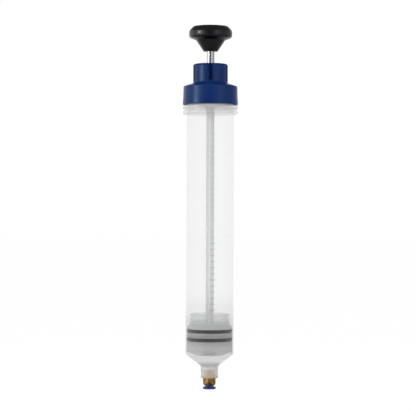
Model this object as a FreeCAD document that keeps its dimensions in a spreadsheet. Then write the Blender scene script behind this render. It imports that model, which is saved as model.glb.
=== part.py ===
"""Hand-operated fluid syringe pump, 1.5 litre class, for a 12 mm hose.

A clear plastic barrel ends in a cone and a threaded neck, which holds a brass push-in hose fitting.
A piston with two rubber rings slides in the barrel on a chromed tube, pulled and pushed by a black palm knob.
A blue screw cap closes the barrel and guides the tube.

Millimetres, +Z up along the barrel, origin at the centre of the hose port's mouth.
"""

import FreeCAD, Part

import math
import os

import Sketcher

# ---------------------------------------------------------------------------------------------
# Driving dimensions
# ---------------------------------------------------------------------------------------------

SIZES = {
    # Barrel: straight wall, cone and neck. Heights are above the port's mouth.
    "bore_radius": 37.4,
    "wall": 1.6,
    "neck_foot": 19.2,
    "neck_lip_top": 21.2,
    "neck_lip_radius": 14.1,
    "neck_radius": 13.65,
    "neck_band_radius": 14.2,
    "neck_band_low": 30.6,
    "neck_top": 38.1,
    "neck_bore_radius": 8.45,
    "cone_low_radius": 15.4,
    "cone_top": 56.1,
    "shoulder_radius": 5.0,
    "rim_height": 486.5,
    # Collar under the cap: two flanges with a groove between them.
    "collar_foot": 446.2,
    "flange_height": 5.0,
    "collar_groove": 3.5,
    "collar_radius": 44.6,
    "collar_groove_radius": 42.6,
    "collar_root_radius": 3.5,
    # Screw thread between barrel and cap.
    "thread_pitch": 6.0,
    "thread_neck_radius": 39.4,
    "thread_depth": 2.0,
    "thread_base": 3.0,
    "thread_crest": 1.8,
    "thread_start": 469.5,
    "thread_turns": 1.5,
    "thread_play": 0.5,
    # Cap.
    "cap_foot": 461.4,
    "cap_foot_radius": 45.0,
    "cap_shoulder_radius": 43.8,
    "cap_shoulder": 491.3,
    "cap_inner_radius": 41.9,
    "cap_ceiling": 488.5,
    "hub_radius": 28.1,
    "hub_foot": 496.4,
    "hub_top": 527.6,
    "hub_edge_radius": 3.0,
    "hub_inner_radius": 21.5,
    "hub_ceiling": 523.6,
    "hub_flute_count": 5,
    "hub_flute_width": 6.0,
    "hub_flute_depth": 4.0,
    "hub_flute_foot": 499.2,
    "boss_radius": 12.6,
    "boss_foot": 479.6,
    "bush_pocket_radius": 9.5,
    "bush_pocket_top": 518.0,
    "wiper_pocket_radius": 10.6,
    "wiper_pocket_foot": 520.6,
    "cap_rib_thickness": 2.2,
    # Rod, its ends and the bush that guides it.
    "rod_radius": 6.5,
    "rod_bore_radius": 5.0,
    "rod_foot": 75.7,
    "rod_top": 559.4,
    "rod_play": 0.1,
    "stud_radius": 4.0,
    "stud_plug_length": 20.0,
    "stud_top": 573.4,
    "stud_foot": 57.6,
    "bush_flange_radius": 12.4,
    "bush_flange": 1.6,
    # Piston.
    "piston_land_radius": 37.0,
    "nose_corner": 60.7,
    "nose_corner_radius": 36.5,
    "nose_tip": 54.7,
    "nose_tip_radius": 22.0,
    "land_foot": 62.3,
    "land_top": 99.5,
    "skirt_foot": 105.7,
    "skirt_radius": 33.0,
    "piston_top": 122.2,
    "cup_radius": 30.0,
    "cup_floor": 68.5,
    "piston_boss_radius": 12.5,
    "piston_boss_top": 102.5,
    "socket_floor": 74.5,
    "nut_pocket_radius": 11.2,
    "nut_pocket_top": 65.9,
    "piston_rib_count": 6,
    "piston_rib_thickness": 2.4,
    "ring_section_radius": 2.5,
    "ring_groove_width": 5.7,
    "lower_ring_height": 81.2,
    "upper_ring_height": 94.9,
    "ring_play": 0.06,
    "plug_thickness": 2.6,
    "washer_radius": 9.0,
    "washer_thickness": 1.5,
    "nut_flats": 13.0,
    "nut_height": 6.0,
    # Knob.
    "knob_foot": 548.1,
    "knob_foot_radius": 11.4,
    "knob_waist": 566.4,
    "knob_waist_radius": 23.7,
    "knob_rim_foot": 570.9,
    "knob_rim_top": 581.7,
    "knob_radius": 35.0,
    "knob_edge": 588.6,
    "knob_edge_radius": 28.4,
    "knob_top": 590.4,
    "insert_radius": 6.4,
    "insert_top": 576.4,
    # Push-in hose fitting.
    "hose_bore_radius": 6.1,
    "collet_flange_radius": 10.6,
    "collet_flange": 3.6,
    "collet_sleeve_radius": 7.1,
    "collet_bead_radius": 7.6,
    "collet_bead": 8.3,
    "collet_top": 10.2,
    "collet_travel": 1.2,
    "body_foot": 6.4,
    "body_foot_radius": 8.9,
    "body_radius": 10.1,
    "body_chamfer_top": 8.8,
    "hex_foot": 12.0,
    "hex_flats": 20.4,
    "hex_corner_radius": 10.8,
    "hex_top": 18.1,
    "cartridge_radius": 8.35,
    "cartridge_depth": 17.0,
    "grab_ring_height": 2.1,
    "hose_stop": 23.5,
    "flow_radius": 4.4,
    "pipe_thread_radius": 8.33,
    "pipe_thread_root": 7.6,
    "pipe_thread_pitch": 1.337,
    "pipe_thread_turns": 7,
    "fitting_top": 30.2,
    # Shared: the usual edge radius, and the gap round pressed parts.
    "edge": 2.5,
    "fit_gap": 0.03,
}

doc = FreeCAD.newDocument("FluidSyringePump")
sheet = doc.addObject("Spreadsheet::Sheet", "Sizes")


class Size:
    """A length from the sheet, or a sum made from such lengths: its expression and its value."""

    def __init__(self, text, value):
        self.text, self.value = text, float(value)

    def joined(self, other, sign, value, swapped=False):
        text = other.text if isinstance(other, Size) else repr(other)
        first, second = (text, self.text) if swapped else (self.text, text)
        return Size(f"({first} {sign} {second})", value)

    def __add__(self, other):
        return self.joined(other, "+", self.value + number(other))

    def __radd__(self, other):
        return self.joined(other, "+", number(other) + self.value, swapped=True)

    def __sub__(self, other):
        return self.joined(other, "-", self.value - number(other))

    def __rsub__(self, other):
        return self.joined(other, "-", number(other) - self.value, swapped=True)

    def __mul__(self, other):
        return self.joined(other, "*", self.value * number(other))

    def __truediv__(self, other):
        return self.joined(other, "/", self.value / number(other))


class Book:
    """The sheet's cells by name, as in book.wall."""


def number(size):
    """The plain value of a Size or of a number."""
    return size.value if isinstance(size, Size) else float(size)


def fill_sheet():
    """Writes every driving dimension into the sheet and returns the book of its cells."""
    book = Book()
    for row, (name, value) in enumerate(SIZES.items(), start=1):
        sheet.set(f"A{row}", name)
        sheet.set(f"B{row}", str(value))
        sheet.setAlias(f"B{row}", name)
        setattr(book, name, Size(f"Sizes.{name}", value))
    doc.recompute()
    return book


book = fill_sheet()

# ---------------------------------------------------------------------------------------------
# Helpers: sketches, turned bodies and dressed edges
# ---------------------------------------------------------------------------------------------

ORIGIN_POINT = (-1, 1)
HORIZONTAL_AXIS, VERTICAL_AXIS = -1, -2


def bind(thing, path, size):
    """Binds a property to a size, by expression where it comes from the sheet."""
    if isinstance(size, Size):
        thing.setExpression(path, size.text)


def origin_plane(body, role):
    """The body's own origin plane or axis with that role."""
    return next(f for f in body.Origin.OriginFeatures if f.Role == role)


def new_sketch(body, name, role="XZ_Plane"):
    """A sketch on one of the body's own origin planes."""
    sketch = body.newObject("Sketcher::SketchObject", name)
    sketch.AttachmentSupport = (origin_plane(body, role), [""])
    sketch.MapMode = "FlatFace"
    return sketch


def pin_point(sketch, geometry, corner, x, y):
    """Fixes one end of an edge at (x, y) from the sketch's origin."""
    for kind, axis, size in (("DistanceX", VERTICAL_AXIS, x), ("DistanceY", HORIZONTAL_AXIS, y)):
        if number(size) == 0:
            sketch.addConstraint(Sketcher.Constraint("PointOnObject", geometry, corner, axis))
            continue
        made = Sketcher.Constraint(kind, *ORIGIN_POINT, geometry, corner, number(size))
        index = sketch.addConstraint(made)
        bind(sketch, f"Constraints[{index}]", size)


def arc_edge(start, end, radius):
    """The short arc of that radius from start to end, turning left; and its two corners in order.

    A negative radius turns right. Sketch arcs run counter-clockwise, so such an arc is stored reversed.
    """
    left = radius > 0
    first, last = (start, end) if left else (end, start)
    middle, chord = (first + last) / 2, last - first
    to_centre = FreeCAD.Vector(-chord.y, chord.x, 0).normalize()
    reach = math.sqrt(radius * radius - (chord.Length / 2) ** 2)
    centre = middle + to_centre * reach
    angles = [math.atan2(p.y - centre.y, p.x - centre.x) for p in (first, last)]
    circle = Part.Circle(centre, FreeCAD.Vector(0, 0, 1), abs(radius))
    if angles[1] < angles[0]:
        angles[1] += 2 * math.pi
    return Part.ArcOfCircle(circle, *angles), ((1, 2) if left else (2, 1))


def draw_outline(sketch, outline):
    """Closes an outline of (x, y) corners in a sketch. A third entry is the radius of the arc to the next corner."""
    corners = [FreeCAD.Vector(number(p[0]), number(p[1]), 0) for p in outline]
    ends = []
    for i, point in enumerate(outline):
        start, end = corners[i], corners[(i + 1) % len(corners)]
        if len(point) == 3:
            edge, order = arc_edge(start, end, number(point[2]))
        else:
            edge, order = Part.LineSegment(start, end), (1, 2)
        ends.append((sketch.addGeometry(edge), *order))
    for i, (edge, _, last) in enumerate(ends):
        follower, first, _ = ends[(i + 1) % len(ends)]
        sketch.addConstraint(Sketcher.Constraint("Coincident", edge, last, follower, first))
    for (edge, first, _), point in zip(ends, outline):
        pin_point(sketch, edge, first, point[0], point[1])
        if len(point) == 3:
            made = Sketcher.Constraint("Radius", edge, abs(number(point[2])))
            index = sketch.addConstraint(made)
            text = point[2].text if number(point[2]) > 0 else f"-1 * {point[2].text}"
            sketch.setExpression(f"Constraints[{index}]", text)


def turned(label, outline):
    """A body turned about Z from an outline of (radius, height) corners."""
    body = doc.addObject("PartDesign::Body", label)
    sketch = new_sketch(body, label + "_outline")
    draw_outline(sketch, outline)
    turn = body.newObject("PartDesign::Revolution", label + "_turn")
    turn.Profile = sketch
    turn.ReferenceAxis = (sketch, ["V_Axis"])
    turn.Angle = 360
    sketch.Visibility = False
    doc.recompute()
    return body


def round_edges(body, circles):
    """Names of the tip's full circles about Z at these (radius, height) places."""
    names = []
    for index, edge in enumerate(body.Tip.Shape.Edges, start=1):
        if edge.Degenerated:
            continue
        curve = edge.Curve
        if not isinstance(curve, Part.Circle) or math.hypot(curve.Center.x, curve.Center.y) > 1e-4:
            continue
        for radius, height in circles:
            if abs(curve.Radius - number(radius)) < 1e-3 and abs(curve.Center.z - number(height)) < 1e-3:
                names.append(f"Edge{index}")
    return names


def dress(body, kind, size, circles):
    """Fillets or chamfers the round edges at these (radius, height) places."""
    names = round_edges(body, circles)
    if len(names) < len(circles):
        raise RuntimeError(f"{body.Label}: found {len(names)} of {len(circles)} edges to {kind}")
    base = body.Tip
    feature = body.newObject(f"PartDesign::{kind}", f"{body.Label}_{kind.lower()}_{len(body.Group)}")
    feature.Base = (base, names)
    path = "Radius" if kind == "Fillet" else "Size"
    setattr(feature, path, number(size))
    bind(feature, path, size)
    doc.recompute()


def extruded(body, kind, name, outline, role, height, foot):
    """Pads or pockets an outline drawn on an origin plane raised to foot, by height along the plane's normal."""
    sketch = new_sketch(body, name + "_outline", role)
    draw_outline(sketch, outline)
    sketch.AttachmentOffset.Base.z = number(foot)
    bind(sketch, "AttachmentOffset.Base.z", foot)
    feature = body.newObject(f"PartDesign::{kind}", name)
    feature.Profile = sketch
    feature.Length = number(height)
    bind(feature, "Length", height)
    sketch.Visibility = False
    return feature


def around(body, feature, count):
    """Repeats a feature evenly round Z and makes the pattern the body's tip."""
    pattern = body.newObject("PartDesign::PolarPattern", feature.Name + "_ring")
    pattern.Originals = [feature]
    pattern.Axis = (origin_plane(body, "Z_Axis"), [""])
    pattern.Angle = 360
    pattern.Occurrences = int(number(count))
    bind(pattern, "Occurrences", count)
    body.Tip = pattern
    doc.recompute()
    return pattern


def helical_ridge(body, name, base_radius, crest_radius, middle, turns):
    """Adds one ridge of the cap's screw thread, starting at height middle and climbing to the right."""
    base, crest = book.thread_base / 2, book.thread_crest / 2
    sketch = new_sketch(body, name + "_section")
    draw_outline(
        sketch,
        [
            (base_radius, middle - base),
            (crest_radius, middle - crest),
            (crest_radius, middle + crest),
            (base_radius, middle + base),
        ],
    )
    ridge = body.newObject("PartDesign::AdditiveHelix", name)
    ridge.Profile = sketch
    ridge.ReferenceAxis = (sketch, ["V_Axis"])
    ridge.Mode = "pitch-turns-angle"
    ridge.Pitch = book.thread_pitch.value
    ridge.Turns = number(turns)
    bind(ridge, "Pitch", book.thread_pitch)
    bind(ridge, "Turns", turns)
    sketch.Visibility = False
    doc.recompute()


def hexagon(flats):
    """Corners of a hexagon that far across its flats, centred on the sketch's origin, as (x, y) sizes."""
    half, corner = flats / 2, flats / math.sqrt(3)
    return [
        (corner, 0),
        (corner / 2, half),
        (corner / -2, half),
        (corner * -1, 0),
        (corner / -2, half * -1),
        (corner / 2, half * -1),
    ]


def ring(label, section_radius, ring_radius, height):
    """A rubber ring of round section, its section's centre ring_radius from Z, at that height."""
    torus = doc.addObject("Part::Torus", label)
    torus.Label = label
    bind(torus, "Radius1", ring_radius)
    bind(torus, "Radius2", section_radius)
    bind(torus, "Placement.Base.z", height)
    return torus


def tube(label, inner, outer, foot, top):
    """A plain ring or tube about Z."""
    return turned(label, [(inner, foot), (outer, foot), (outer, top), (inner, top)])


# ---------------------------------------------------------------------------------------------
# Barrel
# ---------------------------------------------------------------------------------------------


def make_barrel():
    """Moulded barrel: neck, cone, straight wall, collar and threaded mouth in one piece."""
    outer = book.bore_radius + book.wall
    slope = (book.cone_top - book.neck_top).value / (outer - book.cone_low_radius).value
    lean = math.atan(slope)
    # The inner cone runs parallel to the outer one, one wall thickness inside it.
    inner_cone_top = book.cone_top + book.wall * ((1 / math.cos(lean)) - slope)
    inner_cone_low = inner_cone_top - (book.bore_radius - book.neck_bore_radius) * slope
    groove_foot = book.collar_foot + book.flange_height
    groove_top = groove_foot + book.collar_groove
    collar_top = groove_top + book.flange_height
    body = turned(
        "barrel",
        [
            (book.neck_bore_radius, book.neck_foot),
            (book.neck_lip_radius, book.neck_foot),
            (book.neck_lip_radius, book.neck_lip_top),
            (book.neck_radius, book.neck_lip_top),
            (book.neck_radius, book.neck_band_low),
            (book.neck_band_radius, book.neck_band_low),
            (book.neck_band_radius, book.neck_top - 1.8),
            (book.cone_low_radius, book.neck_top),
            (outer, book.cone_top),
            (outer, book.collar_foot),
            (book.collar_radius, book.collar_foot),
            (book.collar_radius, groove_foot),
            (book.collar_groove_radius, groove_foot),
            (book.collar_groove_radius, groove_top),
            (book.collar_radius, groove_top),
            (book.collar_radius, collar_top),
            (book.thread_neck_radius, collar_top),
            (book.thread_neck_radius, book.rim_height),
            (book.bore_radius, book.rim_height),
            (book.bore_radius, inner_cone_top),
            (book.neck_bore_radius, inner_cone_low),
        ],
    )
    dress(body, "Fillet", book.shoulder_radius, [(outer, book.cone_top)])
    dress(body, "Fillet", book.collar_root_radius, [(outer, book.collar_foot)])
    flange_edges = [(book.collar_radius, z) for z in (book.collar_foot, groove_foot, groove_top, collar_top)]
    dress(body, "Fillet", book.flange_height / 6, flange_edges)
    dress(body, "Chamfer", book.wall / 4, [(book.bore_radius, book.rim_height)])
    dress(body, "Fillet", book.wall / 4, [(book.neck_lip_radius, book.neck_foot)])
    helical_ridge(
        body,
        "barrel_thread",
        book.thread_neck_radius - 0.3,
        book.thread_neck_radius + book.thread_depth,
        book.thread_start,
        book.thread_turns,
    )
    return body


# ---------------------------------------------------------------------------------------------
# Screw cap, its gasket, bush and wiper
# ---------------------------------------------------------------------------------------------


def make_cap():
    """Screw cap: skirt with the female thread, conical shoulder, fluted hub and the boss for the bush."""
    body = turned(
        "cap",
        [
            (book.cap_inner_radius, book.cap_foot),
            (book.cap_foot_radius, book.cap_foot),
            (book.cap_shoulder_radius, book.cap_shoulder),
            (book.hub_radius, book.hub_foot),
            (book.hub_radius, book.hub_top),
            (book.wiper_pocket_radius, book.hub_top),
            (book.wiper_pocket_radius, book.wiper_pocket_foot),
            (book.rod_radius + 0.5, book.wiper_pocket_foot),
            (book.rod_radius + 0.5, book.bush_pocket_top),
            (book.bush_pocket_radius, book.bush_pocket_top),
            (book.bush_pocket_radius, book.boss_foot),
            (book.boss_radius, book.boss_foot),
            (book.boss_radius, book.hub_ceiling),
            (book.hub_inner_radius, book.hub_ceiling),
            (book.hub_inner_radius, book.cap_ceiling),
            (book.cap_inner_radius, book.cap_ceiling),
        ],
    )
    dress(body, "Fillet", book.hub_edge_radius, [(book.hub_radius, book.hub_top)])
    dress(body, "Fillet", book.edge * 0.6, [(book.cap_shoulder_radius, book.cap_shoulder)])
    dress(body, "Fillet", book.edge * 1.2, [(book.hub_radius, book.hub_foot)])
    dress(body, "Fillet", book.edge / 5, [(book.cap_foot_radius, book.cap_foot)])
    cut_flutes(body)
    add_cap_ribs(body)
    helical_ridge(
        body,
        "cap_thread",
        book.cap_inner_radius + 0.3,
        book.thread_neck_radius + book.thread_play,
        book.thread_start - book.thread_pitch / 2,
        book.thread_turns,
    )
    return body


def cut_flutes(body):
    """Upright flutes in the hub, as grips, each open at the top and rounded at its floor."""
    half = book.hub_flute_width / 2
    floor = book.hub_radius - book.hub_flute_depth
    beyond = book.hub_radius + 4.0
    flute = extruded(
        body,
        "Pocket",
        "cap_flute",
        [
            (half * -1, beyond * -1),
            (half, beyond * -1),
            (half, (floor + half) * -1),
            (half * -1, (floor + half) * -1),
        ],
        "XY_Plane",
        book.hub_top - book.hub_flute_foot + 1.0,
        book.hub_flute_foot,
    )
    flute.Reversed = True
    doc.recompute()
    around(body, flute, book.hub_flute_count)


def add_cap_ribs(body):
    """Radial webs inside the hub, from the boss to the hub's wall, between the flutes."""
    half = book.cap_rib_thickness / 2
    rib = extruded(
        body,
        "Pad",
        "cap_rib",
        [
            (book.boss_radius - 0.6, half * -1),
            (book.hub_inner_radius + 0.6, half * -1),
            (book.hub_inner_radius + 0.6, half),
            (book.boss_radius - 0.6, half),
        ],
        "XY_Plane",
        book.hub_ceiling - book.cap_ceiling + 0.5,
        book.cap_ceiling,
    )
    doc.recompute()
    around(body, rib, book.hub_flute_count)


def make_cap_fittings():
    """Gasket between rim and ceiling, flanged bush in the boss, and lipped wiper in the hub's top."""
    gasket_inner = book.bore_radius + 0.5
    gasket_outer = book.cap_inner_radius - 0.3
    gasket = tube("cap_gasket", gasket_inner, gasket_outer, book.rim_height, book.cap_ceiling)
    running = book.rod_radius + book.rod_play
    bush = turned(
        "rod_bush",
        [
            (running, book.boss_foot - book.bush_flange),
            (book.bush_flange_radius, book.boss_foot - book.bush_flange),
            (book.bush_flange_radius, book.boss_foot - book.fit_gap),
            (book.bush_pocket_radius - book.fit_gap, book.boss_foot - book.fit_gap),
            (book.bush_pocket_radius - book.fit_gap, book.bush_pocket_top - 0.5),
            (running, book.bush_pocket_top - 0.5),
        ],
    )
    outer = book.wiper_pocket_radius - book.fit_gap
    foot = book.wiper_pocket_foot + book.fit_gap
    lip = book.rod_radius + book.ring_play
    wiper = turned(
        "rod_wiper",
        [
            (book.rod_radius + 1.0, foot),
            (outer, foot),
            (outer, book.hub_top - 0.8),
            (book.rod_radius + 2.2, book.hub_top - 0.8),
            (book.rod_radius + 1.6, foot + 2.6),
            (book.rod_radius + 0.9, book.hub_top + 0.4),
            (lip, book.hub_top + 0.4),
            (book.rod_radius + 0.7, foot + 2.4),
        ],
    )
    return [gasket, bush, wiper]


# ---------------------------------------------------------------------------------------------
# Piston, its rings and plug
# ---------------------------------------------------------------------------------------------


def make_piston():
    """Moulded piston: nose cone, two ring grooves, upper skirt, and a ribbed cup with the rod's socket."""
    half_groove = book.ring_groove_width / 2
    groove_floor = book.bore_radius - book.ring_play - book.ring_section_radius * 2 - 0.06
    grooves = []
    for middle in (book.lower_ring_height, book.upper_ring_height):
        grooves += [
            (book.piston_land_radius, middle - half_groove),
            (groove_floor, middle - half_groove),
            (groove_floor, middle + half_groove),
            (book.piston_land_radius, middle + half_groove),
        ]
    stud_hole = book.stud_radius + book.rod_play
    socket = book.rod_radius + book.rod_play
    body = turned(
        "piston_body",
        [
            (book.nut_pocket_radius, book.nose_tip),
            (book.nose_tip_radius, book.nose_tip),
            (book.nose_corner_radius, book.nose_corner),
            (book.piston_land_radius, book.land_foot),
            *grooves,
            (book.piston_land_radius, book.land_top),
            (book.skirt_radius, book.skirt_foot),
            (book.skirt_radius, book.piston_top),
            (book.cup_radius, book.piston_top),
            (book.cup_radius, book.cup_floor),
            (book.piston_boss_radius, book.cup_floor),
            (book.piston_boss_radius, book.piston_boss_top),
            (socket, book.piston_boss_top),
            (socket, book.socket_floor),
            (stud_hole, book.socket_floor),
            (stud_hole, book.nut_pocket_top),
            (book.nut_pocket_radius, book.nut_pocket_top),
        ],
    )
    dress(body, "Fillet", book.edge / 3, [(book.skirt_radius, book.piston_top)])
    dress(body, "Fillet", book.edge, [(book.nose_tip_radius, book.nose_tip)])
    half = book.piston_rib_thickness / 2
    rib = extruded(
        body,
        "Pad",
        "piston_rib",
        [
            (book.piston_boss_radius - 0.8, half * -1),
            (book.cup_radius + 0.8, half * -1),
            (book.cup_radius + 0.8, half),
            (book.piston_boss_radius - 0.8, half),
        ],
        "XY_Plane",
        book.piston_boss_top - 3.5 - book.cup_floor,
        book.cup_floor - 0.5,
    )
    doc.recompute()
    around(body, rib, book.piston_rib_count)
    return body


def make_piston_fittings():
    """Two rubber rings, the plug that closes the nut's pocket, the thrust washer, the washer and the nut."""
    ring_radius = book.bore_radius - book.ring_play - book.ring_section_radius
    made = [
        ring("piston_ring_lower", book.ring_section_radius, ring_radius, book.lower_ring_height),
        ring("piston_ring_upper", book.ring_section_radius, ring_radius, book.upper_ring_height),
    ]
    plug_rim = book.nut_pocket_radius - book.fit_gap
    plug = turned(
        "piston_plug",
        [
            (0, book.nose_tip + 0.4),
            (plug_rim - 1.0, book.nose_tip + 0.4),
            (plug_rim, book.nose_tip + 1.2),
            (plug_rim, book.nose_tip + book.plug_thickness),
            (0, book.nose_tip + book.plug_thickness),
        ],
    )
    bolt_hole = book.stud_radius + book.fit_gap
    washer_top = book.nut_pocket_top - 0.15
    washer_foot = washer_top - book.washer_thickness
    washer = tube("rod_washer", bolt_hole, book.washer_radius, washer_foot, washer_top)
    thrust = tube(
        "rod_thrust_washer",
        bolt_hole,
        book.rod_radius - 0.1,
        book.socket_floor + 0.1,
        book.rod_foot - 0.02,
    )
    return [*made, plug, washer, thrust, make_nut(bolt_hole, washer_foot - 0.02)]


def make_nut(hole, top):
    """Lock nut: a hexagon with chamfered corners and a hole for the stud."""
    nut = doc.addObject("PartDesign::Body", "rod_nut")
    foot = top - book.nut_height
    extruded(nut, "Pad", "nut_block", hexagon(book.nut_flats), "XY_Plane", book.nut_height, foot)
    doc.recompute()
    trim_corners(nut, "nut_corner_trim", book.nut_flats * 0.56, foot, top)
    sketch = new_sketch(nut, "nut_hole_outline")
    draw_outline(
        sketch,
        [(0, foot - 1.0), (hole, foot - 1.0), (hole, top + 1.0), (0, top + 1.0)],
    )
    bore = nut.newObject("PartDesign::Groove", "nut_hole")
    bore.Profile = sketch
    bore.ReferenceAxis = (sketch, ["V_Axis"])
    bore.Angle = 360
    doc.recompute()
    return nut


def trim_corners(body, name, radius, foot, top):
    """Turns a hexagon's corners down to a radius, with a chamfer at its lower end."""
    sketch = new_sketch(body, name + "_outline")
    draw_outline(
        sketch,
        [
            (radius - 0.8, foot - 0.3),
            (radius + 3.0, foot - 0.3),
            (radius + 3.0, top + 0.5),
            (radius, top + 0.5),
            (radius, foot + 0.5),
        ],
    )
    trim = body.newObject("PartDesign::Groove", name)
    trim.Profile = sketch
    trim.ReferenceAxis = (sketch, ["V_Axis"])
    trim.Angle = 360
    sketch.Visibility = False
    doc.recompute()


# ---------------------------------------------------------------------------------------------
# Rod and knob
# ---------------------------------------------------------------------------------------------


def make_rod():
    """Chromed tube with a threaded stud pressed into each end."""
    rod = tube("rod_tube", book.rod_bore_radius, book.rod_radius, book.rod_foot, book.rod_top)
    dress(rod, "Chamfer", book.edge / 6, [(book.rod_radius, book.rod_foot), (book.rod_radius, book.rod_top)])
    plug = book.rod_bore_radius - book.fit_gap
    end_stud = turned(
        "rod_end_stud",
        [
            (0, book.stud_foot),
            (book.stud_radius - 0.6, book.stud_foot),
            (book.stud_radius, book.stud_foot + 0.6),
            (book.stud_radius, book.rod_foot),
            (plug, book.rod_foot),
            (plug, book.rod_foot + book.stud_plug_length),
            (0, book.rod_foot + book.stud_plug_length),
        ],
    )
    top_stud = turned(
        "rod_top_stud",
        [
            (0, book.rod_top - book.stud_plug_length),
            (plug, book.rod_top - book.stud_plug_length),
            (plug, book.rod_top),
            (book.stud_radius, book.rod_top),
            (book.stud_radius, book.stud_top - 0.6),
            (book.stud_radius - 0.6, book.stud_top),
            (0, book.stud_top),
        ],
    )
    return [rod, end_stud, top_stud]


def make_knob():
    """Palm knob: shallow dome, upright rim, sloping underside and conical stem, with its socket."""
    socket = book.rod_radius + book.rod_play
    insert_hole = book.insert_radius + book.fit_gap
    # The dome's radius follows from its rise over its edge.
    rise = book.knob_top - book.knob_edge
    dome_radius = (book.knob_edge_radius * book.knob_edge_radius + rise * rise) / (rise * 2)
    knob = turned(
        "knob",
        [
            (socket, book.knob_foot),
            (book.knob_foot_radius, book.knob_foot),
            (book.knob_waist_radius, book.knob_waist),
            (book.knob_radius, book.knob_rim_foot),
            (book.knob_radius, book.knob_rim_top),
            (book.knob_edge_radius, book.knob_edge, dome_radius),
            (0, book.knob_top),
            (0, book.insert_top + 0.5),
            (insert_hole, book.insert_top + 0.5),
            (insert_hole, book.rod_top + 0.4),
            (socket, book.rod_top + 0.4),
        ],
    )
    dress(knob, "Fillet", book.edge * 2, [(book.knob_radius, book.knob_rim_foot)])
    dress(knob, "Fillet", book.edge * 3, [(book.knob_radius, book.knob_rim_top)])
    dress(knob, "Fillet", book.edge, [(book.knob_edge_radius, book.knob_edge)])
    dress(knob, "Fillet", book.edge, [(book.knob_waist_radius, book.knob_waist)])
    dress(knob, "Fillet", book.edge / 3, [(book.knob_foot_radius, book.knob_foot)])
    insert = tube(
        "knob_insert",
        book.stud_radius + book.fit_gap,
        book.insert_radius,
        book.rod_top + 0.4 + book.fit_gap,
        book.insert_top,
    )
    return [knob, insert]


# ---------------------------------------------------------------------------------------------
# Push-in hose fitting
# ---------------------------------------------------------------------------------------------


def pipe_thread_outline():
    """Corners of the fitting's male pipe thread, as rounds of a tooth form, from the hexagon upwards."""
    pitch = book.pipe_thread_pitch
    first = book.hex_top + 1.6
    corners = []
    for turn in range(int(book.pipe_thread_turns.value)):
        foot = first + pitch * turn
        corners += [
            (book.pipe_thread_root, foot),
            (book.pipe_thread_radius, foot + pitch * 0.42),
            (book.pipe_thread_radius, foot + pitch * 0.58),
        ]
    return corners


def make_fitting_body():
    """Brass body: round foot, hexagon for the spanner, male pipe thread, and stepped bore for the hose."""
    body = turned(
        "fitting_body",
        [
            (book.cartridge_radius, book.body_foot),
            (book.body_foot_radius, book.body_foot),
            (book.body_radius, book.body_chamfer_top),
            (book.body_radius, book.hex_foot),
            (book.body_radius, book.hex_top),
            (book.pipe_thread_root, book.hex_top),
            *pipe_thread_outline(),
            (book.pipe_thread_root, book.fitting_top - 0.2),
            (book.pipe_thread_root - 0.5, book.fitting_top),
            (book.flow_radius, book.fitting_top),
            (book.flow_radius, book.hose_stop),
            (book.hose_bore_radius, book.hose_stop),
            (book.hose_bore_radius, book.cartridge_depth),
            (book.cartridge_radius, book.cartridge_depth),
        ],
    )
    sketch = new_sketch(body, "fitting_hex_outline", "XY_Plane")
    draw_outline(sketch, hexagon(book.hex_flats))
    circle = Part.Circle(FreeCAD.Vector(0, 0, 0), FreeCAD.Vector(0, 0, 1), book.body_radius.value - 0.5)
    hole = sketch.addGeometry(circle)
    sketch.addConstraint(Sketcher.Constraint("Coincident", hole, 3, *ORIGIN_POINT))
    index = sketch.addConstraint(Sketcher.Constraint("Radius", hole, book.body_radius.value - 0.5))
    bind(sketch, f"Constraints[{index}]", book.body_radius - 0.5)
    bind(sketch, "AttachmentOffset.Base.z", book.hex_foot)
    block = body.newObject("PartDesign::Pad", "fitting_hex")
    block.Profile = sketch
    bind(block, "Length", book.hex_top - book.hex_foot)
    doc.recompute()
    trim_corners(body, "fitting_hex_trim", book.hex_corner_radius, book.hex_foot, book.hex_top)
    return body


def make_fitting_inside():
    """Washer under the neck and, inside the body, the cartridge, grab ring, spacer, hose seal and collet."""
    washer = tube(
        "fitting_washer",
        book.pipe_thread_radius + 0.05,
        book.neck_radius,
        book.hex_top + book.fit_gap,
        book.neck_foot - book.fit_gap,
    )
    ring_foot = book.collet_top + book.collet_travel + 0.05
    ring_top = ring_foot + book.grab_ring_height
    pocket = book.cartridge_radius - book.fit_gap
    guide = book.collet_sleeve_radius + book.rod_play
    clear_of_bead = book.collet_bead_radius + 0.2
    cartridge = turned(
        "collet_cartridge",
        [
            (guide, book.body_foot + 0.2),
            (pocket, book.body_foot + 0.2),
            (pocket, ring_foot + 1.6),
            (clear_of_bead + 0.3, ring_foot + 1.5),
            (clear_of_bead, ring_foot + 1.2),
            (clear_of_bead, book.collet_bead - 0.05),
            (guide, book.collet_bead - 0.05),
        ],
    )
    section = (book.cartridge_radius - book.hose_bore_radius) / 2 - 0.02
    seal_height = book.cartridge_depth - section - 0.02
    seal = ring("hose_seal", section, book.hose_bore_radius + section + 0.01, seal_height)
    spacer_top = seal_height - section - 0.02
    spacer = tube("hose_spacer", book.hose_bore_radius + 0.1, pocket, ring_top + 0.05, spacer_top)
    collet = turned(
        "collet",
        [
            (book.hose_bore_radius, 0),
            (book.collet_flange_radius, 0),
            (book.collet_flange_radius, book.collet_flange),
            (book.collet_sleeve_radius, book.collet_flange),
            (book.collet_sleeve_radius, book.collet_bead),
            (book.collet_bead_radius, book.collet_bead),
            (book.collet_bead_radius, book.collet_bead + 0.8),
            (book.hose_bore_radius + 0.4, book.collet_top),
            (book.hose_bore_radius, book.collet_top),
        ],
    )
    rim = [(book.collet_flange_radius, 0), (book.collet_flange_radius, book.collet_flange)]
    dress(collet, "Fillet", book.collet_flange / 3, rim)
    return [washer, cartridge, make_grab_ring(ring_foot), spacer, seal, collet]


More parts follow.
